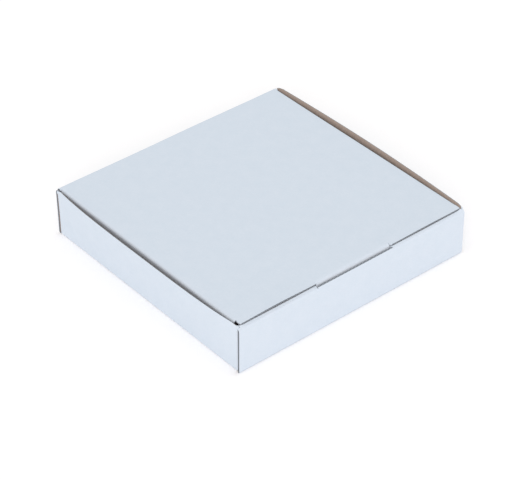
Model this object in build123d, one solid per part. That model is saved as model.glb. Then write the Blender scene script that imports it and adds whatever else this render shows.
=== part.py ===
from build123d import *
from math import hypot
import os

# A square mailer box, die-cut from one sheet of corrugated board and folded up without glue.
# The floor carries a back wall, two side walls whose end tabs tuck behind the back wall and into the
# front wall, and a front wall that is folded over on itself and locked into the floor. The lid is
# creased to the back wall: its side flaps tuck inside the side walls, and its lock tab drops into a
# slot in the folded top of the front wall.
# Millimetres. +X is the box's right, the front is at -Y, and the origin is under the floor's middle.

# Board and creases
board = 1.6              # thickness of the corrugated board
crease_radius = 0.15     # inside radius of a folded crease
cut_bevel = 0.9          # how far the knife crushes the inner face at a cut edge

# Box
width = 200.0            # outside, across the side walls at their bottom creases
depth = 200.0            # outside, from the front wall to the back wall
inner_height = 35.0      # from the floor to the underside of the closed lid
wall_rise = 1.0          # side walls stand this far above the lid
wall_bow = 3.2           # outward bulge at the middle of a side wall's top edge
wall_lean = 1.3          # outward lean of a side wall's top at the back, where only a tab holds it
corner_run = 4.0         # a side wall's top corners slope down over this length
corner_drop = 1.2        # and by this much

# Front wall
slot_width = 67.0        # slot in the folded top that takes the lid's lock tab
lip_drop = 0.9           # the front wall's edge at the slot ends this far below the lid's top
tongue_width = 18.0      # tongues of the inner front panel that lock into the floor
tongue_spacing = 96.0    # between the middles of the two tongues
tongue_recess = 0.3      # a tongue's tip stops this far above the floor's underside

# End tabs of the side walls
tab_reach = 42.0         # from a side wall's outer face to the free end of its tab
tab_taper = 6.0          # chamfer on the free corners of a tab

# Lid
lid_setback = 2.6        # the lid's cut front edges lie this far behind the front face
lock_depth = 14.0        # from the lid's top to the tip of the lock tab
lock_fold = 1.9          # inside radius of the lock tab's soft fold
lock_taper = 4.0         # chamfer on the lock tab's corners
flap_depth = 25.0        # from the lid's top to the free edge of a side flap
flap_taper = 9.0         # how far a flap's ends slope in
flap_margin = 1.2        # from a flap's root to the inner front panel, and to the tabs at the back
flap_notch = 2.4         # length of the notch between a flap's root and the lid's front corner

# Clearances
play = 0.35              # between layers of board that slide past each other
side_play = 0.35         # between the lid's flaps and the side walls
rest_gap = 0.3           # between the lid and what it rests on, and at its hinge

# Heights and faces that follow from the driving dimensions
fold = board + crease_radius
crease_mid = crease_radius + board / 2
lid_under = board + inner_height
lid_top = lid_under + board
wall_top = lid_top + wall_rise
front_face = -depth / 2
back_face = depth / 2

# The hinge is the middle of the board at the back crease
hinge_y = back_face - board / 2
hinge_z = lid_under + board / 2

# The lock tab's tip swings outwards on its way up, and the front pocket has room for that
lock_drop = lock_depth - board / 2
lock_reach = depth - 2 * board
lock_swing = hypot(lock_reach, lock_drop) - lock_reach
pocket = play + lock_swing + board + play
lock_face = front_face + board + play + lock_swing

# Front wall: outer panel, folded top and inner panel
outer_mid = front_face + board / 2
inner_mid = outer_mid + board + pocket
inner_back = inner_mid + board / 2
rest_top = lid_under - rest_gap
top_crease = rest_top - fold
panel_half = width / 2 - board - side_play

# Ends of the side walls, where their tabs begin
front_tab_face = front_face + board + (pocket - board) / 2
back_tab_face = back_face - board - play
wall_front = front_tab_face + fold
wall_back = back_tab_face - fold
corner_front = front_face + board + play
corner_back = back_face - board - play


def block(x, y, z):
    """A box between pairs of limits along each axis."""
    size = (x[1] - x[0], y[1] - y[0], z[1] - z[0])
    middle = ((x[0] + x[1]) / 2, (y[0] + y[1]) / 2, (z[0] + z[1]) / 2)
    return Pos(*middle) * Box(*size)


def strip_across(line, half):
    """Board that follows a line in the YZ plane, as wide as twice half along X."""
    return extrude(Plane.YZ * trace(line, board), half, both=True)


def turned_edge(centre, radius, start, sweep, run):
    """A crease's arc from a start angle, and the straight run of given length that leaves it."""
    arc = CenterArc(centre, radius, start, sweep)
    return arc + Line(arc @ 1, (arc @ 1) + (arc % 1) * run)


def both_sides(solid):
    """A solid on the box's left and its mirror image on the right."""
    return solid + mirror(solid, Plane.YZ)


def wall_section(y, lean):
    """Section of the left side wall: bottom crease, wall leaning out, crushed top edge."""
    left = -width / 2
    crease = (left + fold, fold)
    corner = fold * (1 - 0.5 ** 0.5)
    inner_corner = board + crease_radius * (1 - 0.5 ** 0.5)
    outline = ThreePointArc((crease[0], 0), (left + corner, corner), (left, fold))
    outline += Polyline(
        (left, fold),
        (left - lean, wall_top),
        (left - lean + board - cut_bevel, wall_top),
        (left - lean + board, wall_top - cut_bevel),
        (left + board, fold),
    )
    outline += ThreePointArc((left + board, fold), (left + inner_corner, inner_corner), (crease[0], board))
    outline += Line((crease[0], board), (crease[0], 0))
    return Plane.XZ.offset(-y) * make_face(outline)


def end_tab(wall_end, sweep, top, lean):
    """Tab folded in from the end of the left side wall, leaning out with the wall."""
    line = turned_edge((-width / 2 + fold, wall_end), crease_mid, 180, sweep, tab_reach - fold)
    slope = lean / (wall_top - fold)
    rise = top - fold
    tab = extrude(Pos(0, 0, fold) * trace(line, board), rise, dir=Vector(-slope, 0, 1))
    free_edges = tab.edges().filter_by(Axis.Y).sort_by(Axis.X)[-2:]
    return chamfer(free_edges, tab_taper)


def top_corner(wall_end, corner_end, tab_top, lean):
    """Top corner of the left side wall: above the tab it runs on past the tab's crease."""
    slope = lean / (wall_top - fold)
    low = tab_top + play
    left = -width / 2 - slope * (low - fold)
    middle = (left + board / 2, (wall_end + corner_end) / 2, low)
    plan = Pos(*middle) * Rectangle(board, abs(corner_end - wall_end))
    return extrude(plan, wall_top - low, dir=Vector(-slope, 0, 1))


def corner_slope(corner_end, inwards):
    """What is cut off a side wall so that its top edge slopes down to the corner."""
    corner = Polyline(
        (corner_end, wall_top),
        (corner_end, wall_top - corner_drop),
        (corner_end + inwards * corner_run, wall_top),
        close=True,
    )
    return extrude(Plane.YZ * make_face(corner), -width)


def make_tray():
    """Everything below the lid, as one folded sheet."""
    # Inner front panel, folded top, outer front panel, floor and back wall in one run
    line = FilletPolyline(
        (inner_mid, board + play),
        (inner_mid, rest_top - board / 2),
        (outer_mid, rest_top - board / 2),
        (outer_mid, board / 2),
        (hinge_y, board / 2),
        (hinge_y, rest_top),
        radius=crease_mid,
    )
    tray = strip_across(line, width / 2)

    # The floor stops at the side creases, and the folded top and inner panel fit between the side walls
    side = (-width / 2, -width / 2 + fold)
    tray -= both_sides(block(side, (front_face + fold, back_face - fold), (0, fold)))
    end = (-width / 2, -panel_half)
    tray -= both_sides(block(end, (front_face + board, inner_back), (fold, lid_top)))

    # At the slot the top is cut out, and the outer panel stands up straight in front of it
    slot = (-slot_width / 2, slot_width / 2)
    tray -= block(slot, (front_face, inner_back), (top_crease, lid_top))
    lip = block(slot, (front_face, front_face + board), (top_crease, lid_top - lip_drop))
    tray += chamfer(lip.edges().filter_by(Axis.X).group_by(Axis.Z)[-1].sort_by(Axis.Y)[-1], cut_bevel)

    # Tongues of the inner panel drop into slots in the floor
    for x in (-tongue_spacing / 2, tongue_spacing / 2):
        half = tongue_width / 2
        panel = (inner_mid - board / 2, inner_back)
        tray -= block((x - half - play, x + half + play), (panel[0] - play, panel[1] + play), (0, board))
        tray += block((x - half, x + half), panel, (tongue_recess, board + play))

    # Side walls bulge between their ends, where the tabs hold them
    middle = (wall_front + wall_back) / 2
    wall = loft([
        wall_section(wall_front, 0),
        wall_section(middle, wall_lean / 2 + wall_bow),
        wall_section(wall_back, wall_lean),
    ])
    front_tab_top = top_crease - play
    back_tab_top = lid_under - board
    wall += top_corner(wall_front, corner_front, front_tab_top, 0)
    wall += top_corner(wall_back, corner_back, back_tab_top, wall_lean)
    wall -= corner_slope(corner_front, 1) + corner_slope(corner_back, -1)
    wall += end_tab(wall_front, 90, front_tab_top, 0)
    wall += end_tab(wall_back, -90, back_tab_top, wall_lean)
    return tray + both_sides(wall)


def make_lid():
    """The lid with its side flaps and lock tab, as one folded sheet rounded at the hinge."""
    flap_face = width / 2 - board - side_play
    panel_edge = flap_face - fold
    lid_front = front_face + lid_setback
    flap_front = inner_back + flap_margin
    flap_back = back_tab_face - board - flap_margin
    lid = block((-panel_edge, panel_edge), (lid_front, hinge_y), (lid_under, lid_top))

    # In front of the flaps and behind them the panel is wider, and it ends in a round on the hinge's axis
    full = (-flap_face, flap_face)
    lid += block(full, (lid_front, flap_front - flap_notch), (lid_under, lid_top))
    lid += block(full, (flap_back + play, hinge_y), (lid_under, lid_top))
    lid += Pos(0, hinge_y, hinge_z) * Rot(0, 90, 0) * Cylinder(board / 2, 2 * flap_face)
    front_edge = lid.edges().filter_by(Axis.X).group_by(Axis.Z)[0].sort_by(Axis.Y)[0]
    lid = chamfer(front_edge, cut_bevel)

    # The lock tab bends down between relief cuts that are as wide as the slot
    relief = (-slot_width / 2 - play, slot_width / 2 + play)
    bend_start = lock_face + board + lock_fold
    lid -= block(relief, (lid_front, bend_start), (lid_under, lid_top))
    lock_mid = lock_fold + board / 2
    line = turned_edge((bend_start, hinge_z - lock_mid), lock_mid, 90, 90, lock_depth - board - lock_fold)
    tab = strip_across(line, slot_width / 2 - play)
    tip = tab.edges().filter_by(Axis.Y).group_by(Axis.Z)[0]
    lid += chamfer(tip, lock_taper)

    # Side flaps tuck inside the side walls, with sloping ends
    line = turned_edge((-panel_edge, hinge_z - crease_mid), crease_mid, 90, 90, flap_depth - fold)
    flap = extrude(Plane.XZ.offset(-flap_back) * trace(line, board), flap_back - flap_front)
    root = lid_top - fold
    low = lid_top - flap_depth
    ends = Polyline((flap_front, root), (flap_front, low), (flap_front + flap_taper, low), close=True)
    ends = make_face(ends) + make_face(
        Polyline((flap_back, root), (flap_back, low), (flap_back - flap_taper, low), close=True)
    )
    flap -= extrude(Plane.YZ * ends, -width)
    return lid + both_sides(flap)


os.makedirs("parts", exist_ok=True)
export_step(make_tray(), "parts/tray.step")
export_step(make_lid(), "parts/lid.step")
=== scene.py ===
from collections import namedtuple
from math import cos, pi, radians, sin
import bpy
import numpy as np
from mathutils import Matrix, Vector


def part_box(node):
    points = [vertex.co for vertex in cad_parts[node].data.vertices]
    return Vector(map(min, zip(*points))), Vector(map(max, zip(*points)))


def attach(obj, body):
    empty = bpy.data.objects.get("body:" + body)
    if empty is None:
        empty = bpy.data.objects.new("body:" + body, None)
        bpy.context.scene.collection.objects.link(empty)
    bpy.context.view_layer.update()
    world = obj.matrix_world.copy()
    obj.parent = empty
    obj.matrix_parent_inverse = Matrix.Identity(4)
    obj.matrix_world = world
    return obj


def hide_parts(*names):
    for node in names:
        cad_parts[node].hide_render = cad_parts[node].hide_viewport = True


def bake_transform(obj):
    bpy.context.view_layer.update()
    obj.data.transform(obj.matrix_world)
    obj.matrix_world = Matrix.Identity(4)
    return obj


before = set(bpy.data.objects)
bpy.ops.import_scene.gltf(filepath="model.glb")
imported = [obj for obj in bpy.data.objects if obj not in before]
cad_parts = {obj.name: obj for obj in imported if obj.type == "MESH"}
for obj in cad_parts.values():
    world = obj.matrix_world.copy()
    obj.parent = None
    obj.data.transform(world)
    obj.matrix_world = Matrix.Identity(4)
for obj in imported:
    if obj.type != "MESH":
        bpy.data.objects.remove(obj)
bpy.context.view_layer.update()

# The tray: floor, back wall, two side walls with end tabs, and a front wall that is folded over on itself
# and locked into the floor by two tongues. It is die-cut from corrugated board with a bleached white top
# liner and a brown kraft inner liner, and folded up without glue. Sizes are in millimetres.

MM = 0.001
hair = 0.01               # places that lie closer than this count as one
board = 1.6               # thickness of the board
fold = 1.2                # outside radius of a sharp crease
crease_band = 1.5         # a sharp crease presses the board thinner over this width on each side
border = 0.9              # width of the strip that the knife crushes along a cut edge
play = 0.35               # between layers of board that slide past each other
side_play = 0.35          # between the lid's flaps and the side walls
rest_gap = 0.3            # between the lid and what it rests on
pocket = 2.74             # between the outer and the inner front panel
top_fold = 1.6            # outside radius of the two creases along the top of the front wall
panel_over = 0.5          # the folded top and the inner panel reach this far past the lid's flaps
slot_width = 66.3         # slot in the folded top of the front wall
slot_shift = 0.15         # the slot is this far off the middle, to the right
tongue_half = 9.0         # half a tongue's width
tongue_place = 48.0       # middle of a tongue, from the middle of the box
tongue_recess = 0.3       # a tongue's tip stops this far above the underside of the floor
corner_run = 5.0          # a side wall's top corners slope down over this length
corner_gap = 0.1          # between a side wall's ends and the front and back walls
crease_fold = 2.0         # outside radius of the lid's crease
crease_cover = 1.0        # straight board on each side of the lid's crease
crease_over = 0.95        # the crease reaches this far past the lid's flaps

tray_low, tray_high = (np.array(corner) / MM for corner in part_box("tray"))
lid_low, lid_high = (np.array(corner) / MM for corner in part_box("lid"))
front_face, back_face = tray_low[1], tray_high[1]
lid_top = lid_high[2]
lid_under = lid_top - board
flap_face = lid_high[0]
half_width = flap_face + side_play + board
floor_edge = half_width - fold
floor_front, floor_back = front_face + fold, back_face - fold
panel_half = flap_face + panel_over
crease_half = flap_face + crease_over
slot_half = slot_width / 2
rest_top = lid_under - rest_gap
top_crease = rest_top - top_fold
inner_back = front_face + 2 * board + pocket
root = board + play
front_tab_face = front_face + board + (pocket - board) / 2
back_tab_face = back_face - board - corner_gap
wall_front = front_tab_face + fold
wall_back = back_tab_face - fold
corner_front = front_face + board + corner_gap
corner_back = back_face - board - corner_gap
crease_low = lid_top - crease_fold - crease_cover

# One run of board makes the inner front panel with its tongues, the folded top, the outer front panel,
# the floor and the back wall. The top isn't flat: it swells up in front of the lid's edge, and more at its
# ends, where the side walls squeeze it.
top_swell = 0.58          # height of the swell
swell_place = 2.7         # from the front face to its middle
swell_width = 0.8         # over which it falls off
swell_step = 0.35         # grid step that shows it round
end_swell = 1.2           # height of the extra swell at the ends
end_place = 0.4           # its middle is this much nearer to the front face
end_width = 0.7           # over which it falls off across the top
end_run = 2.0             # and along the top
end_reach = 3.5           # from the top's ends to where it has nearly gone
front_skew = 0.35         # the swell and the lid's front edge lie this much further forward on the right
front_overhang = 0.5      # the front wall's ends stand out this far past the side walls
back_overhang = 0.5       # and the back wall's at their top
inside_fold = 0.05        # least inside radius of a crease

Run = namedtuple("Run", "point normal room travelled")
Patch = namedtuple("Patch", "place normal room flat keep")


def lines(*breaks, step=4.0):
    """Grid lines that pass through every break and divide each stretch between two breaks evenly, with
    at most a step from line to line."""
    breaks = np.unique(np.round(breaks, 4))
    counts = np.maximum(1, np.ceil(np.diff(breaks) / step - 1e-6).astype(int))
    runs = [np.linspace(a, b, n, endpoint=False) for a, b, n in zip(breaks[:-1], breaks[1:], counts)]
    return np.concatenate(runs + [breaks[-1:]])


def both(*values):
    """Each value and its negative."""
    return [*values, *(-value for value in values)]


def middles(values):
    """Halfway values between neighbours, one for each cell of a grid."""
    return (values[1:] + values[:-1]) / 2


def folded_run(start, heading, *legs, turn_steps=6):
    """The white face of a strip of board, seen from its edge. Each leg is a straight run, given by the
    distances at which it has points, or a left turn (radius, degrees) about a centre on its left. The
    normal is a quarter turn to the right of the heading, and a turn leaves room for board only as deep as
    its radius less a small inside radius."""
    place, angle, total = np.array(start, float), radians(heading), 0.0
    points, normals, rooms, travelled = [], [], [], []
    for leg in legs:
        ahead = np.array([cos(angle), sin(angle)])
        if isinstance(leg, tuple):
            radius, turn = leg[0], radians(leg[1])
            steps = np.linspace(0, turn, max(2, round(turn_steps * leg[1] / 90)) + 1)
            centre = place + radius * np.array([-ahead[1], ahead[0]])
            out = np.stack([np.cos(angle + steps - pi / 2), np.sin(angle + steps - pi / 2)], 1)
            points.append(centre + radius * out)
            normals.append(out)
            rooms.append(np.full(len(steps), min(board, radius - inside_fold)))
            travelled.append(total + radius * steps)
            angle += turn
        else:
            points.append(place + np.outer(leg, ahead))
            normals.append(np.tile([ahead[1], -ahead[0]], (len(leg), 1)))
            rooms.append(np.full(len(leg), board))
            travelled.append(total + np.asarray(leg))
        place, total = points[-1][-1], travelled[-1][-1]
    points, normals, rooms, travelled = map(np.concatenate, (points, normals, rooms, travelled))

    # Where two legs meet, the first of the two points is kept, with the lesser room.
    again = np.flatnonzero(np.diff(travelled) < 1e-6)
    rooms[again] = np.minimum(rooms[again], rooms[again + 1])
    fresh = np.r_[True, np.diff(travelled) > 1e-6]
    return Run(points[fresh], normals[fresh], rooms[fresh], travelled[fresh])


def carried(run, across, plane):
    """A run in the plane of two axes, carried along the third: a patch whose rows follow the run and whose
    columns lie at the values across, with flat places (across, travelled)."""
    shape = len(run.point), len(across)
    place, normal = np.zeros((*shape, 3)), np.zeros((*shape, 3))
    place[:, :, plane] = run.point[:, None]
    normal[:, :, plane] = run.normal[:, None]
    place[:, :, 3 - sum(plane)] = across
    room = np.broadcast_to(run.room[:, None], shape)
    flat = np.stack(np.broadcast_arrays(np.asarray(across, float), run.travelled[:, None]), -1)
    return Patch(place, normal, room, flat, np.ones((shape[0] - 1, shape[1] - 1), bool))


# The grid's lines pass through every crease, cut and crushed border of the run and of what joins it.
seam_y = lines(
    wall_front, wall_front + border, corner_front + corner_run,
    inner_back - board - play, inner_back + play, inner_back + play + border,
    corner_back - corner_run, wall_back - border, wall_back,
)
floor_y = lines(floor_front, floor_front + crease_band, floor_back - crease_band, floor_back, *seam_y)
slot_ends = both(slot_half - border, slot_half, slot_half + border)
tongue_sides = both(tongue_half, tongue_half + play)
run_x = lines(
    *(slot_shift + end for end in slot_ends),
    *both(*(tongue_place + side for side in tongue_sides)),
    *both(panel_half - end_reach, panel_half, floor_edge - crease_band, floor_edge),
    *both(crease_half, half_width),
)
up_inner = lines(
    tongue_recess, tongue_recess + border, root, root + border, top_crease - border, top_crease,
)
over_top = lines(0, 2 * board + pocket - 2 * top_fold, step=swell_step)
down_outer = lines(fold, fold + crease_band, top_crease - border, top_crease)
up_back = lines(fold, fold + crease_band, crease_low, rest_top - border / 2, rest_top)
run = folded_run(
    (inner_back, tongue_recess), 90,
    up_inner - tongue_recess, (top_fold, 90), over_top, (top_fold, 90), (top_crease - down_outer)[::-1],
    (fold, 90), floor_y - floor_y[0], (fold, 90), up_back - fold,
)

# Cells outside the panels are left out: beside the tongues and in the slots that take them, past the ends
# of the folded top and in its slot, beside the floor, and where the lid's crease takes over.
travelled = middles(run.travelled)[:, None]
y, z = middles(run.point)[:, 0, None], middles(run.point)[:, 1, None]
x = np.abs(middles(run_x))
top_from = top_crease - tongue_recess
top_to = top_from + pi * top_fold + over_top[-1]
outer_to = top_to + top_crease - fold
floor_from = outer_to + fold * pi / 2
floor_to = floor_from + floor_y[-1] - floor_y[0]
wall_from = floor_to + fold * pi / 2
in_tongue = np.abs(x - tongue_place) < tongue_half
in_notch = np.abs(x - tongue_place) < tongue_half + play
in_notch = in_notch & (np.abs(y - inner_back + board / 2) < board / 2 + play)
in_slot = np.abs(middles(run_x) - slot_shift) < slot_half
between_walls = x < panel_half
in_top = ~in_slot & (between_walls | (y < front_face + board))
in_floor = (x < floor_edge) & ~in_notch
keep = np.select(
    [travelled < end for end in (root - tongue_recess, top_from, top_to, floor_from, floor_to, wall_from)],
    [in_tongue, between_walls, in_top, True, in_floor, True],
    (z < crease_low) | (x > crease_half),
)
long_run = carried(run, run_x, [1, 2])._replace(keep=keep)
x, y, z = np.moveaxis(long_run.place, -1, 0)
overhang = np.where(y < 0, front_overhang, back_overhang * z / rest_top)
in_ends = (np.abs(x) > half_width - hair) & (np.abs(y) > back_face - board - hair)
long_run.place[..., 0] += np.sign(x) * overhang * in_ends
on_top = (y < inner_back + hair) & (z > top_crease)
from_swell = y - front_face - swell_place + np.where(x < 0, 0, front_skew)
from_end = (from_swell + end_place) / end_width
swell = top_swell * np.exp(-(from_swell / swell_width) ** 2)
swell += end_swell * np.exp(-from_end ** 2 - ((np.abs(x) - panel_half) / end_run) ** 2)
long_run.place[..., 2] += swell * on_top

# At the slot the outer front panel stands up straight instead of folding over.
lip_drop = 0.9            # its edge ends this far below the lid's top

lip_top = lid_top - lip_drop
lip_x = run_x[np.abs(run_x - slot_shift) < slot_half + hair]
lip_z = lines(top_crease, lip_top - border, lip_top)
lip = carried(folded_run((front_face, lip_top), -90, (lip_top - lip_z)[::-1]), lip_x, [1, 2])

# The side walls rise from the floor's sides, and their end tabs fold in behind the front and back walls.
wall_border = 1.6         # width of the strip that is crushed along a side wall's top edge
tab_reach = 42.0          # from a side wall's outer face to the free end of its tab
tab_taper = 6.0           # how far a tab's free corners are cut back

wall_top = tray_high[2]
front_tab_top = top_crease - play
back_tab_top = lid_under - board
wall_y = lines(corner_front, *seam_y, corner_back)
wall_z = lines(
    fold, fold + crease_band, front_tab_top, back_tab_top, rest_top, wall_top - wall_border, wall_top,
)


def standing(patch, lean, bow, arch, drop):
    """A side wall's points as they stand. Near its ends the top slopes down, by a front and a back drop.
    The whole wall leans out in proportion to height, by a lean that goes from its front value to its back
    value plus a bulge that is an arch of the given power from end to end."""
    x, y, z = np.moveaxis(patch.place, -1, 0)
    corner = np.clip(1 - np.minimum(y - corner_front, corner_back - y) / corner_run, 0, 1)
    fall = np.where(y < 0, *drop) * corner * np.clip((z - back_tab_top) / (wall_top - back_tab_top), 0, 1)
    height = np.clip((z - fold) / (wall_top - fold), 0, 1)
    way = np.clip((y - wall_front) / (wall_back - wall_front), 0, 1)
    out = lean[0] + (lean[1] - lean[0]) * way + bow * (1 - np.abs(2 * way - 1) ** arch)
    return patch._replace(place=np.stack([x + height * out, y, z - fall], -1))


def end_tab(wall_end, outwards, top):
    """A tab at one end of the right side wall: a quarter turn inwards and a straight run, with its free
    corners cut back."""
    tab_z = wall_z[wall_z < top + hair]
    length = tab_reach - fold
    straight = lines(0, crease_band, length - tab_taper, length - border, length)
    tab = carried(folded_run((half_width, 0), 90, (fold, 90), straight), tab_z, [0, 1])
    middle = (tab_z[0] + tab_z[-1]) / 2
    cut_back = np.clip(tab.flat[..., 1] - (fold * pi / 2 + length - tab_taper), 0, None)
    tab.place[..., 2] = middle + (tab.place[..., 2] - middle) * (1 - cut_back / (middle - tab_z[0]))
    tab.place[..., 1] = wall_end + outwards * tab.place[..., 1]
    tab.normal[..., 1] *= outwards
    across = floor_edge + fold * (pi / 2 - 1) + tab.flat[..., 0]
    return tab._replace(flat=np.stack([across, wall_end + outwards * tab.flat[..., 1]], -1))


def side(**shape):
    """A side wall with its two end tabs, on the right: a crease and a straight rise, carried along the
    floor's side, without the cells that the tabs fold away."""
    wall = carried(folded_run((floor_edge, 0), 0, (fold, 90), wall_z - fold), wall_y, [0, 2])
    z, y = middles(middles(wall.place[..., 2]).T).T, middles(wall_y)
    past_front = (y < wall_front) & (z < front_tab_top)
    past_back = (y > wall_back) & (z < back_tab_top)
    wall = wall._replace(keep=~(past_front | past_back), flat=wall.flat[..., ::-1] + [floor_edge, 0])
    tabs = end_tab(wall_front, -1, front_tab_top), end_tab(wall_back, 1, back_tab_top)
    return [standing(patch, **shape) for patch in (wall, *tabs)]


def mirrored(patch):
    """The same patch on the other side of the box."""
    flip = np.array([-1, 1, 1])
    return patch._replace(place=patch.place * flip, normal=patch.normal * flip, flat=patch.flat * [-1, 1])


# The left wall bulges more and fuller than the right one, and drops further at its back corner.
right_side = side(lean=(0.3, 1.4), bow=2.7, arch=2, drop=(1.2, 1.2))
left_side = side(lean=(0.4, 0.9), bow=3.3, arch=4, drop=(1.2, 2.1))

# The patches become one closed sheet, whose outline shows what the knife has left of the board.
knife_cut = 0.5           # share of the thickness that is left at a cut edge
crushed_cut = 0.22        # and at edges that the knife has pressed almost flat
open_cut = 0.9            # and at edges that stay open
join_grid = 0.02          # points in one cell of a grid this fine are one point
join_shift = 0.237        # share of a cell by which the grid is off the round sizes
white_face, kraft_face, bare_cut = 0, 1, 2    # numbers of the finishes


def facing_cells(patch, first):
    """The kept cells of a patch as corner numbers, turned so that they face along its normals."""
    rows, columns = patch.place.shape[:2]
    number = first + np.arange(rows * columns).reshape(rows, columns)
    cells = np.stack([number[:-1, :-1], number[1:, :-1], number[1:, 1:], number[:-1, 1:]], -1)
    p = patch.place
    area = np.cross(p[1:, 1:] - p[:-1, :-1], p[:-1, 1:] - p[1:, :-1])
    outwards = (area * patch.normal[:-1, :-1]).sum(-1)[patch.keep].sum() > 0
    return cells[patch.keep] if outwards else cells[patch.keep][:, ::-1]


def slack(place):
    """How far the board strays from true along its normal: the sum of two long waves that slant through the
    box, each of less than a tenth of a millimetre. They fade out over the lowest 5 mm, because the table
    presses the board flat."""
    x, y, z = place.T
    waves = 0.07 * np.sin(x / 17 + y / 41 + z / 9) + 0.06 * np.cos(y / 23 - x / 37 + z / 13)
    return waves * np.clip(z / 5, 0, 1)


def sheet(name, patches, edge):
    """One closed sheet of board from patches of its white face. Points in one cell of a fine grid become
    one point, with the least of their rooms. The kraft face lies behind each point along its normal, as
    deep as there is room. A rim closes the outline, where edge(place) gives the share of that depth that
    is left and whether the cut is bare. Between two bare points the rim is cut board, and elsewhere the
    white face is drawn over it."""
    sizes = [patch.place.shape[0] * patch.place.shape[1] for patch in patches]
    firsts = np.cumsum([0, *sizes[:-1]])
    cells = np.concatenate([facing_cells(patch, first) for patch, first in zip(patches, firsts)])
    place, normal, flat = (
        np.concatenate([getattr(patch, part).reshape(-1, width) for patch in patches])
        for part, width in (("place", 3), ("normal", 3), ("flat", 2))
    )
    room = np.concatenate([patch.room.ravel() for patch in patches])
    grid = np.floor(place / join_grid + join_shift).astype(int)
    _, kept, joined = np.unique(grid, axis=0, return_index=True, return_inverse=True)
    least = np.full(len(kept), board)
    np.minimum.at(least, joined.ravel(), room)
    used, cells = np.unique(joined.ravel()[cells], return_inverse=True)
    cells = cells.reshape(-1, 4)
    place, normal, flat, depth = (part[used] for part in (place[kept], normal[kept], flat[kept], least))
    count = len(place)

    edges = np.stack([cells, np.roll(cells, -1, 1)], -1).reshape(-1, 2)
    _, at, uses = np.unique(np.sort(edges, 1) @ [count, 1], return_index=True, return_counts=True)
    rim = edges[at[uses == 1]]
    outline = np.unique(rim)
    bare = np.zeros(count, bool)
    share, bare[outline] = edge(place[outline])
    depth[outline] *= share
    place = place + normal * slack(place)[:, None]
    points = np.concatenate([place, place - normal * depth[:, None]]) * MM
    faces = np.concatenate([cells, cells[:, ::-1] + count, np.c_[rim[:, ::-1], rim + count]])

    mesh = bpy.data.meshes.new(name)
    mesh.from_pydata(points, [], faces.tolist())
    mesh.polygons.foreach_set("use_smooth", np.ones(len(faces), bool))
    rim_finish = np.where(bare[rim].all(1), bare_cut, white_face)
    finish = np.r_[np.repeat([white_face, kraft_face], len(cells)), rim_finish]
    mesh.polygons.foreach_set("material_index", finish.astype(np.int32))
    layer = mesh.attributes.new("flat_place", "FLOAT_VECTOR", "POINT")
    face = np.repeat([0.0, 1.0], count)
    layer.data.foreach_set("vector", np.c_[np.tile(flat * MM, (2, 1)), face].astype(np.float32).ravel())
    mesh.set_sharp_from_angle(angle=radians(40))
    mesh.update()
    piece = bpy.data.objects.new(name, mesh)
    bpy.context.collection.objects.link(piece)
    return piece


def tray_edge(place):
    """The tray's outline: whole where it runs on into the lid's crease, open at the ends of the front and
    back walls and of the folded top, along the slot and at the side walls' corners, pressed flat along
    the other top edges, and a plain cut elsewhere. Above the front wall's top crease the white face is
    drawn over all but the side walls' edges between their corners, the front wall's edge at the slot and
    the ends of the front and back walls."""
    x, y, z = np.abs(place[:, 0]), place[:, 1], place[:, 2]
    at_crease = (y > back_face - hair) & (np.abs(z - crease_low) < hair) & (x < crease_half + hair)
    at_end = (x > half_width - hair) & ((y < corner_front - hair) | (y > corner_back + hair))
    at_slot = (y < front_face + hair) & (z > lip_top - hair)
    at_ear = (y > back_face - hair) & (z > rest_top - hair)
    at_side = (x > half_width - hair) & (z > rest_top - hair)
    at_corner = at_side & ((y < corner_front + hair) | (y > corner_back - hair))
    on_top = z > top_crease + hair
    top_end = on_top & (np.abs(x - panel_half) < hair) & (y < inner_back + hair)
    open_end = at_end | at_slot | at_ear
    share = np.select(
        [at_crease, open_end | at_corner | top_end, on_top],
        [1.0, open_cut, crushed_cut],
        knife_cut,
    )
    return share, open_end | at_side & ~at_corner | ~on_top


tray = sheet("tray_sheet", [long_run, lip, *right_side, *map(mirrored, left_side)], tray_edge)


def linear(code):
    """An sRGB hex colour as linear red, green, blue and alpha."""
    part = np.array([int(code[i:i + 2], 16) for i in (1, 3, 5)]) / 255
    return *np.where(part <= 0.04045, part / 12.92, ((part + 0.055) / 1.055) ** 2.4), 1.0


def add(tree, kind, inputs, **settings):
    """Adds a node, sets its properties, and gives each named or numbered input its value or link."""
    node = tree.nodes.new("ShaderNode" + kind)
    for key, value in settings.items():
        setattr(node, key, value)
    for key, value in inputs.items():
        if isinstance(value, bpy.types.NodeSocket):
            tree.links.new(value, node.inputs[key])
        else:
            node.inputs[key].default_value = value
    return node.outputs


def matt(name, roughness, specular):
    """An uncoated, matt finish: its material, its node tree and its shader's inputs."""
    material = bpy.data.materials.new(name)
    material.use_nodes = True
    tree = material.node_tree
    shader = tree.nodes["Principled BSDF"].inputs
    shader["Roughness"].default_value = roughness
    shader["Specular IOR Level"].default_value = specular
    return material, tree, shader


flute_pitch = 3.2 * MM    # from crown to crown of the corrugations


def flute_wave(tree, flat):
    """A sine wave across the flat board, with one period to a flute, from the board's flat place."""
    across = add(tree, "SeparateXYZ", {0: flat})["X"]
    turns = add(tree, "Math", {0: across, 1: 2 * pi / flute_pitch}, operation="MULTIPLY")[0]
    return add(tree, "Math", {0: turns}, operation="SINE")[0]


# Bleached top liner: machine-made paper, uncoated and matt. Up close it is faintly cloudy, with short
# fibres along the machine direction, and the flutes underneath print through as a soft washboard. The
# fibres are drawn much coarser than real ones, or they wouldn't show.
cloud_size = 9 * MM       # of the thicker and thinner clouds in the paper
fibre_length = 2.5 * MM   # of the drawn fibres
fibre_width = 0.7 * MM
fibre_relief = 0.03 * MM  # height of the fibres
rib_relief = 0.006 * MM   # and of the washboard

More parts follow.
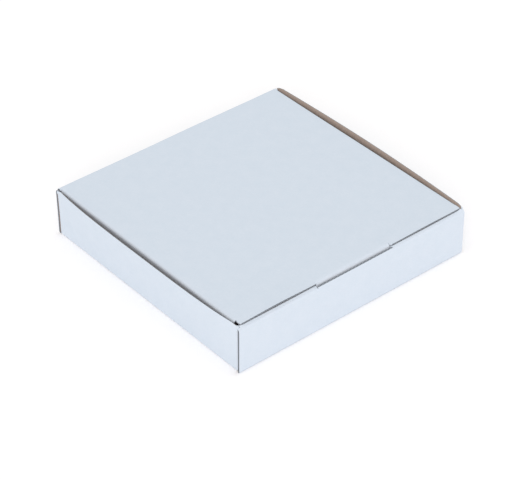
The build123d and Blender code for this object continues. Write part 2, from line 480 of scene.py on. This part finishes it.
white, tree, shader = matt("bleached_top_liner", 0.7, 0.35)
flat = add(tree, "Attribute", {}, attribute_name="flat_place")["Vector"]
ribs = flute_wave(tree, flat)
clouds = {"Vector": flat, "Scale": 1 / cloud_size, "Detail": 4, "Roughness": 0.6}
cloud = add(tree, "TexNoise", clouds)["Fac"]
grain = add(tree, "Mapping", {"Vector": flat, "Scale": (1 / fibre_length, 1 / fibre_width, 1)})["Vector"]
fibre = add(tree, "TexNoise", {"Vector": grain, "Scale": 1, "Detail": 2, "Roughness": 0.5})["Fac"]
mixed = add(tree, "Math", {0: cloud, 1: fibre}, operation="ADD")[0]
tone = add(tree, "MapRange", {"Value": mixed, "From Min": 0.6, "From Max": 1.4})["Result"]
paper = add(tree, "Mix", {"Factor": tone, 6: linear("#c9d5e0"), 7: linear("#d0dae4")}, data_type="RGBA")[2]
tree.links.new(paper, shader["Base Color"])
washboard = add(tree, "Bump", {"Height": ribs, "Distance": rib_relief})["Normal"]
raised = {"Height": fibre, "Distance": fibre_relief, "Strength": 0.6, "Normal": washboard}
tree.links.new(add(tree, "Bump", raised)["Normal"], shader["Normal"])

# Kraft inner liner: unbleached brown paper, rough and matt, with dark and light fibres and a washboard
# that shows more clearly than on the white side, in relief and in painted shade that darkens its hollows
# and lightens its crowns. These fibres are drawn coarser too.
cloud_size = 5 * MM
cloud_contrast = 0.5      # of the clouds, set against the fibres
fibre_length = 3 * MM
fibre_width = 0.6 * MM
fibre_relief = 0.05 * MM
rib_relief = 0.03 * MM
# painted shade and highlight of the washboard: its hollows are painted darker and its crowns lighter
rib_shade = 0.06           # how far the washboard's crowns and hollows change the tone

kraft, tree, shader = matt("kraft_inner_liner", 0.85, 0.2)
flat = add(tree, "Attribute", {}, attribute_name="flat_place")["Vector"]
ribs = flute_wave(tree, flat)
clouds = {"Vector": flat, "Scale": 1 / cloud_size, "Detail": 5, "Roughness": 0.75}
cloud = add(tree, "TexNoise", clouds)["Fac"]
softer = {0: cloud, 1: cloud_contrast, 2: (1 - cloud_contrast) / 2}
cloud = add(tree, "Math", softer, operation="MULTIPLY_ADD")[0]
grain = add(tree, "Mapping", {"Vector": flat, "Scale": (1 / fibre_length, 1 / fibre_width, 1)})["Vector"]
fibre = add(tree, "TexNoise", {"Vector": grain, "Scale": 1, "Detail": 3, "Roughness": 0.6})["Fac"]
# painted shade: the washboard's sine darkens the tone in its hollows and lightens it on its crowns
rib_shading = add(tree, "Math", {0: ribs, 1: rib_shade}, operation="MULTIPLY")[0]
mixed = add(tree, "Math", {0: cloud, 1: fibre}, operation="ADD")[0]
mixed = add(tree, "Math", {0: mixed, 1: rib_shading}, operation="ADD")[0]
tone = add(tree, "MapRange", {"Value": mixed, "From Min": 0.6, "From Max": 1.4})["Result"]
paper = add(tree, "Mix", {"Factor": tone, 6: linear("#84776e"), 7: linear("#aa9b90")}, data_type="RGBA")[2]
tree.links.new(paper, shader["Base Color"])
washboard = add(tree, "Bump", {"Height": ribs, "Distance": rib_relief})["Normal"]
raised = {"Height": fibre, "Distance": fibre_relief, "Strength": 0.8, "Normal": washboard}
tree.links.new(add(tree, "Bump", raised)["Normal"], shader["Normal"])

# Cut edge of the board: two pale liners with the wavy medium between them, and the flutes' hollows beside
# it, whose dark is painted shade, since the flat rim has no hollows in its shape. The greys are cool rather
# than kraft brown, partly as painted shade of the gaps along the edges. The third part of the flat place is
# the depth in the board, from 0 at the white face to 1 at the kraft face.
medium_swing = 0.36       # share of the depth by which the medium swings to each side of the middle
medium_half = 0.08        # from the medium's own middle to where it ends
hollow_shade_from = 0.2         # and to where the hollow is fully dark
hollow_shade_to = 0.34          # from the board's middle to where the hollow is still fully dark
liner_from = 0.42         # and to where the liner begins

cut, tree, shader = matt("cut_board_edge", 0.9, 0.1)
flat = add(tree, "Attribute", {}, attribute_name="flat_place")["Vector"]
ribs = flute_wave(tree, flat)
depth = add(tree, "SeparateXYZ", {0: flat})["Z"]
medium = add(tree, "Math", {0: ribs, 1: medium_swing, 2: 0.5}, operation="MULTIPLY_ADD")[0]
off_medium = add(tree, "Math", {0: depth, 1: medium}, operation="SUBTRACT")[0]
off_medium = add(tree, "Math", {0: off_medium}, operation="ABSOLUTE")[0]
# painted shade: the flutes' hollows on either side of the medium are painted dark
clear = {"Value": off_medium, "From Min": medium_half, "From Max": hollow_shade_from}
hollow_shade = add(tree, "MapRange", clear)["Result"]
off_middle = add(tree, "Math", {0: depth, 1: 0.5}, operation="SUBTRACT")[0]
off_middle = add(tree, "Math", {0: off_middle}, operation="ABSOLUTE")[0]
between_liners = {"Value": off_middle, "From Min": liner_from, "From Max": hollow_shade_to}
core = add(tree, "MapRange", between_liners)["Result"]
# the painted shade of the hollows, kept between the two liners
dark = add(tree, "Math", {0: hollow_shade, 1: core}, operation="MULTIPLY")[0]
shade = add(tree, "Mix", {"Factor": dark, 6: linear("#aab1b9"), 7: linear("#5b6169")}, data_type="RGBA")[2]
tree.links.new(shade, shader["Base Color"])


def finish_board(piece):
    """Gives a sheet of board its finishes, in the order of white face, kraft face and bare cut."""
    for material in (white, kraft, cut):
        piece.data.materials.append(material)


finish_board(tray)
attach(tray, "tray")
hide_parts("tray")

# The lid: a flat panel with two side flaps tucked inside the side walls and a lock tab that bends down
# into the slot. It is the same sheet of board, creased to the back wall; its front edge is a plain cut.

lid_setback = 3.0         # from the front wall's face to the lid's cut front edges
left_half = 98.7          # from the middle to the left flap's crease
left_fold = 2.2           # outside radius of that soft crease
right_half = 98.8         # from the middle to the right flap's crease
right_fold = 0.9          # outside radius of that sharper crease
flap_turn = 92.0          # degrees from the panel to a flap, which leans in a little
flap_taper = 9.0          # how far a flap's ends slope in
flap_place = 1.8          # from the lock tab's fold back to the front of the flaps' roots
flap_margin = 0.4         # from a flap's root to the tabs at the back
flap_notch = 1.2          # length of the notch in front of a flap
left_notch = 96.8         # from the middle to the notch in front of the left flap; the right one is closed
left_corner = 97.4        # from the middle to the left front corner
right_corner = 98.4       # and to the right one
corner_round = 2.7        # the front corners are rounded off over this length
left_round = 1.3          # and by this much at the left
right_round = 0.3         # and at the right
round_share = 0.97        # along a curve that ends just short of a quarter of an ellipse, which is 1
left_lift = 0.7           # the front edge springs up this far between the lock tab and the left corner
right_lift = 0.3          # and the right corner
lift_run = 50.0           # and that dies out over this length behind it
left_cut = 0.68           # share of the thickness that is left at the front edge left of the lock tab
right_cut = 0.6           # and right of it
corner_cut = 0.5          # and around the front corners
relief_cut = 0.8          # and beside the lock tab's root
lock_fold = 3.5           # outside radius of the lock tab's soft fold
lock_depth = 14.0         # from the lid's top to the tip of the lock tab
lock_swing = 0.44         # room in front of the lock tab for its tip to swing out
lock_taper = 4.0          # how far the lock tab's corners are cut back
root_left = -32.5         # left end of the lock tab's root
root_right = 33.6         # and right end
relief_round = 1.4        # the front edge's corner right of the lock tab is rounded off by this much
relief_run = 2.5          # and that dies out over this length along the edge
lock_right = 33.0         # the lock tab's right side below its fold, inside the slot's end
lock_narrow = 0.75        # which it reaches after this share of the fold

lid_front, flap_low = front_face + lid_setback, lid_low[2]
crease_front = back_face - crease_fold - crease_cover
left_edge = left_half - left_fold
right_edge = right_half - right_fold
bend_start = front_face + board + play + lock_swing + lock_fold
flap_front = bend_start + flap_place
notch_front = flap_front - flap_notch
flap_back = back_tab_face - board - flap_margin

lid_x = lines(
    root_left - border, root_left, root_left + border,
    root_right - border, root_right, root_right + relief_run,
    *both(crease_half), -left_edge, border - left_edge, right_edge - border, right_edge,
    -left_notch, -left_corner, left_round - left_corner, right_corner, right_corner - right_round,
)
lid_y = lines(
    *(lid_front + corner_round * part for part in (0, 0.2, 0.5, 1)), notch_front,
    bend_start, flap_front, flap_back, crease_front,
)
panel = carried(folded_run((crease_front, lid_top), 180, (crease_front - lid_y)[::-1]), lid_x, [1, 2])
x, y = middles(lid_x), middles(lid_y)[::-1, None]
to_corner = np.where(x < 0, left_corner, right_corner)
to_notch = np.where(x < 0, left_notch, right_corner)
to_flap = np.where(x < 0, left_edge, right_edge)
reach = np.select(
    [y < notch_front, y < flap_front, y < flap_back], [to_corner, to_notch, to_flap], crease_half,
)
beside_lock = (x > root_left) & (x < root_right) & (y < bend_start)
panel = panel._replace(keep=(np.abs(x) < reach) & ~beside_lock, flat=panel.place[..., :2].copy())

# The front corners are rounded along an ellipse. Beside the lock tab the front edge springs up, in a sine
# squared from its root to the corner.
x, y, z = np.moveaxis(panel.place, -1, 0)
left = x < 0
ahead = np.clip(1 - (y - lid_front) / corner_round, 0, 1)
rounding = np.sqrt(1 - round_share * ahead ** 2)
past = np.clip(np.where(left, -x - left_corner + left_round, x - right_corner + right_round), 0, None)
along_left = (root_left - x) / (root_left + left_corner)
along_right = (x - root_right) / (right_corner - root_right)
along = np.where(left, along_left, along_right)
arch = np.where(left, left_lift, right_lift) * np.sin(pi * np.clip(along, 0, 1)) ** 2
lift = arch * np.clip(1 - (y - lid_front) / lift_run, 0, 1) ** 2
skew = np.where(left, 0, front_skew) * ahead
aside = relief_round * (np.abs(x - root_right) < hair) * np.clip(2 * ahead - 1, 0, 1)
x = x - np.sign(x) * past * (1 - rounding) + aside
panel = panel._replace(place=np.stack([x, y - skew, z + lift], -1))

# The lock tab bends down from its root, narrows on the right to enter the slot, and has its corners cut
# back.
lock_x = lid_x[(lid_x > root_left - hair) & (lid_x < root_right + hair)]
lock_fall = lock_depth - lock_fold
drop = lines(0, lock_fall - lock_taper, lock_fall - border, lock_fall)
lock_tab = carried(folded_run((bend_start, lid_top), 180, (lock_fold, 90), drop), lock_x, [1, 2])
bend = lock_fold * pi / 2
travelled = lock_tab.flat[..., 1]
cut_back = np.clip(travelled - bend - drop[-1] + lock_taper, 0, None)
narrowed = np.clip(travelled / bend / lock_narrow, 0, 1)
right_end = root_right + (lock_right - root_right) * narrowed - cut_back
left_end = root_left + cut_back
share = (lock_tab.place[..., 0] - root_left) / (root_right - root_left)
lock_tab.place[..., 0] = left_end + (right_end - left_end) * share

flap_y = lid_y[(lid_y > flap_front - hair) & (lid_y < flap_back + hair)]


def side_flap(edge, crease):
    """The flap on the right, from the panel's edge: a crease of the given radius and a straight fall, with
    ends that slope in."""
    fall = lid_top - flap_low - crease
    straight = lines(0, crease_band, fall - border, fall)
    flap = carried(folded_run((lid_top, edge), 90, (crease, flap_turn), straight), flap_y, [2, 0])
    middle = (flap_front + flap_back) / 2
    slope = flap_taper * np.clip(flap.flat[..., 1] - crease * radians(flap_turn), 0, None) / fall
    flap.place[..., 1] = middle + (flap.place[..., 1] - middle) * (1 - slope / (middle - flap_front))
    return flap._replace(flat=flap.flat[..., ::-1] + [edge, 0])


def lid_edge(place):
    """The lid's outline: whole where it runs on into the crease, more open along the front and beside the
    lock tab's root than at the corners, and a plain cut elsewhere. The white face is drawn over the front
    corners and the short cuts beside the lock tab's root and behind the flaps, and the rest is bare."""
    x, y, z = place.T
    at_crease = y > crease_front - hair
    in_front = (y < lid_front + hair) & (z > lid_top - hair)
    straight = np.where(x < 0, left_corner - left_round, right_corner - right_round)
    at_corner = (y < notch_front + hair) & (np.abs(x) > straight + hair)
    at_relief = (x > root_left - hair) & (x < root_right + relief_round)
    at_relief = at_relief & (y < bend_start) & (z > lid_top - hair)
    behind_flap = np.abs(y - flap_back) < hair
    front_cut = np.where(x < 0, left_cut, right_cut)
    share = np.select(
        [at_crease, at_corner, in_front, at_relief],
        [1.0, corner_cut, front_cut, relief_cut],
        knife_cut,
    )
    return share, ~at_corner & (in_front | ~(at_relief | behind_flap))


flaps = side_flap(right_edge, right_fold), mirrored(side_flap(left_edge, left_fold))
lid = sheet("lid_sheet", [panel, lock_tab, *flaps], lid_edge)
finish_board(lid)
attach(lid, "lid")
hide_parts("lid")

# The lid's crease: the stretch of the same sheet that bends where the lid meets the back wall, built as it
# lies with the lid shut. It is pressed soft along a line.

crease_x = run_x[np.abs(run_x) < crease_half + hair]
cover = np.array([0, crease_cover])
crease_run = folded_run((back_face, crease_low), 90, cover, (crease_fold, 90), cover, turn_steps=12)


def crease_edge(place):
    """The crease's outline: whole all round, and bare at its two ends."""
    return 1.0, np.abs(place[:, 0]) > crease_half - hair


crease = sheet("lid_crease", [carried(crease_run, crease_x, [1, 2])], crease_edge)
finish_board(crease)
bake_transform(crease)

# The studio: a plain pale floor under even white light, a broad soft light low behind the camera, and the
# camera at the photograph's angle, far off with a long lens. Sizes here are in metres.

stage_half = 6.0          # half the floor's width
stage_drop = 0.1 * MM     # keeps the floor clear of the box's underside

ground = bpy.data.meshes.new("floor")
corners = np.array([(-1, -1, 0), (1, -1, 0), (1, 1, 0), (-1, 1, 0)]) * stage_half - [0, 0, stage_drop]
ground.from_pydata(corners, [], [(0, 1, 2, 3)])
floor = bpy.data.objects.new("floor", ground)
bpy.context.collection.objects.link(floor)
pale, tree, shader = matt("pale_floor", 0.9, 0.0)
shader["Base Color"].default_value = linear("#ffffff")
ground.materials.append(pale)

world = bpy.data.worlds.new("studio")
world.use_nodes = True
sky = world.node_tree.nodes["Background"].inputs
sky["Color"].default_value = linear("#ffffff")
sky["Strength"].default_value = 0.93
bpy.context.scene.world = world
bpy.context.scene.view_settings.view_transform = "Standard"


def aimed(thing, target, azimuth, elevation, distance):
    """Places a light or camera at a distance from a target, looking at it: azimuth 0 is straight in front
    of the box and grows to the right."""
    a, e = radians(azimuth), radians(elevation)
    placed = bpy.data.objects.new(thing.name, thing)
    placed.location = np.array(target) + distance * np.array([sin(a) * cos(e), -cos(a) * cos(e), sin(e)])
    placed.rotation_euler = pi / 2 - e, 0, a
    bpy.context.collection.objects.link(placed)
    return placed


soft = bpy.data.lights.new("soft_light", "AREA")
soft.shape = "DISK"
soft.size = 5.0
soft.energy = 221
soft.color = linear("#ffefee")[:3]
aimed(soft, (0, 0, 0), -42, 28, 8.0)

camera = bpy.data.cameras.new("camera")
camera.sensor_width = 36
camera.lens = 147.2
bpy.context.scene.camera = aimed(camera, (0.00174, -0.00013, 0.00145), -40.07, 37.08, 1.4970)
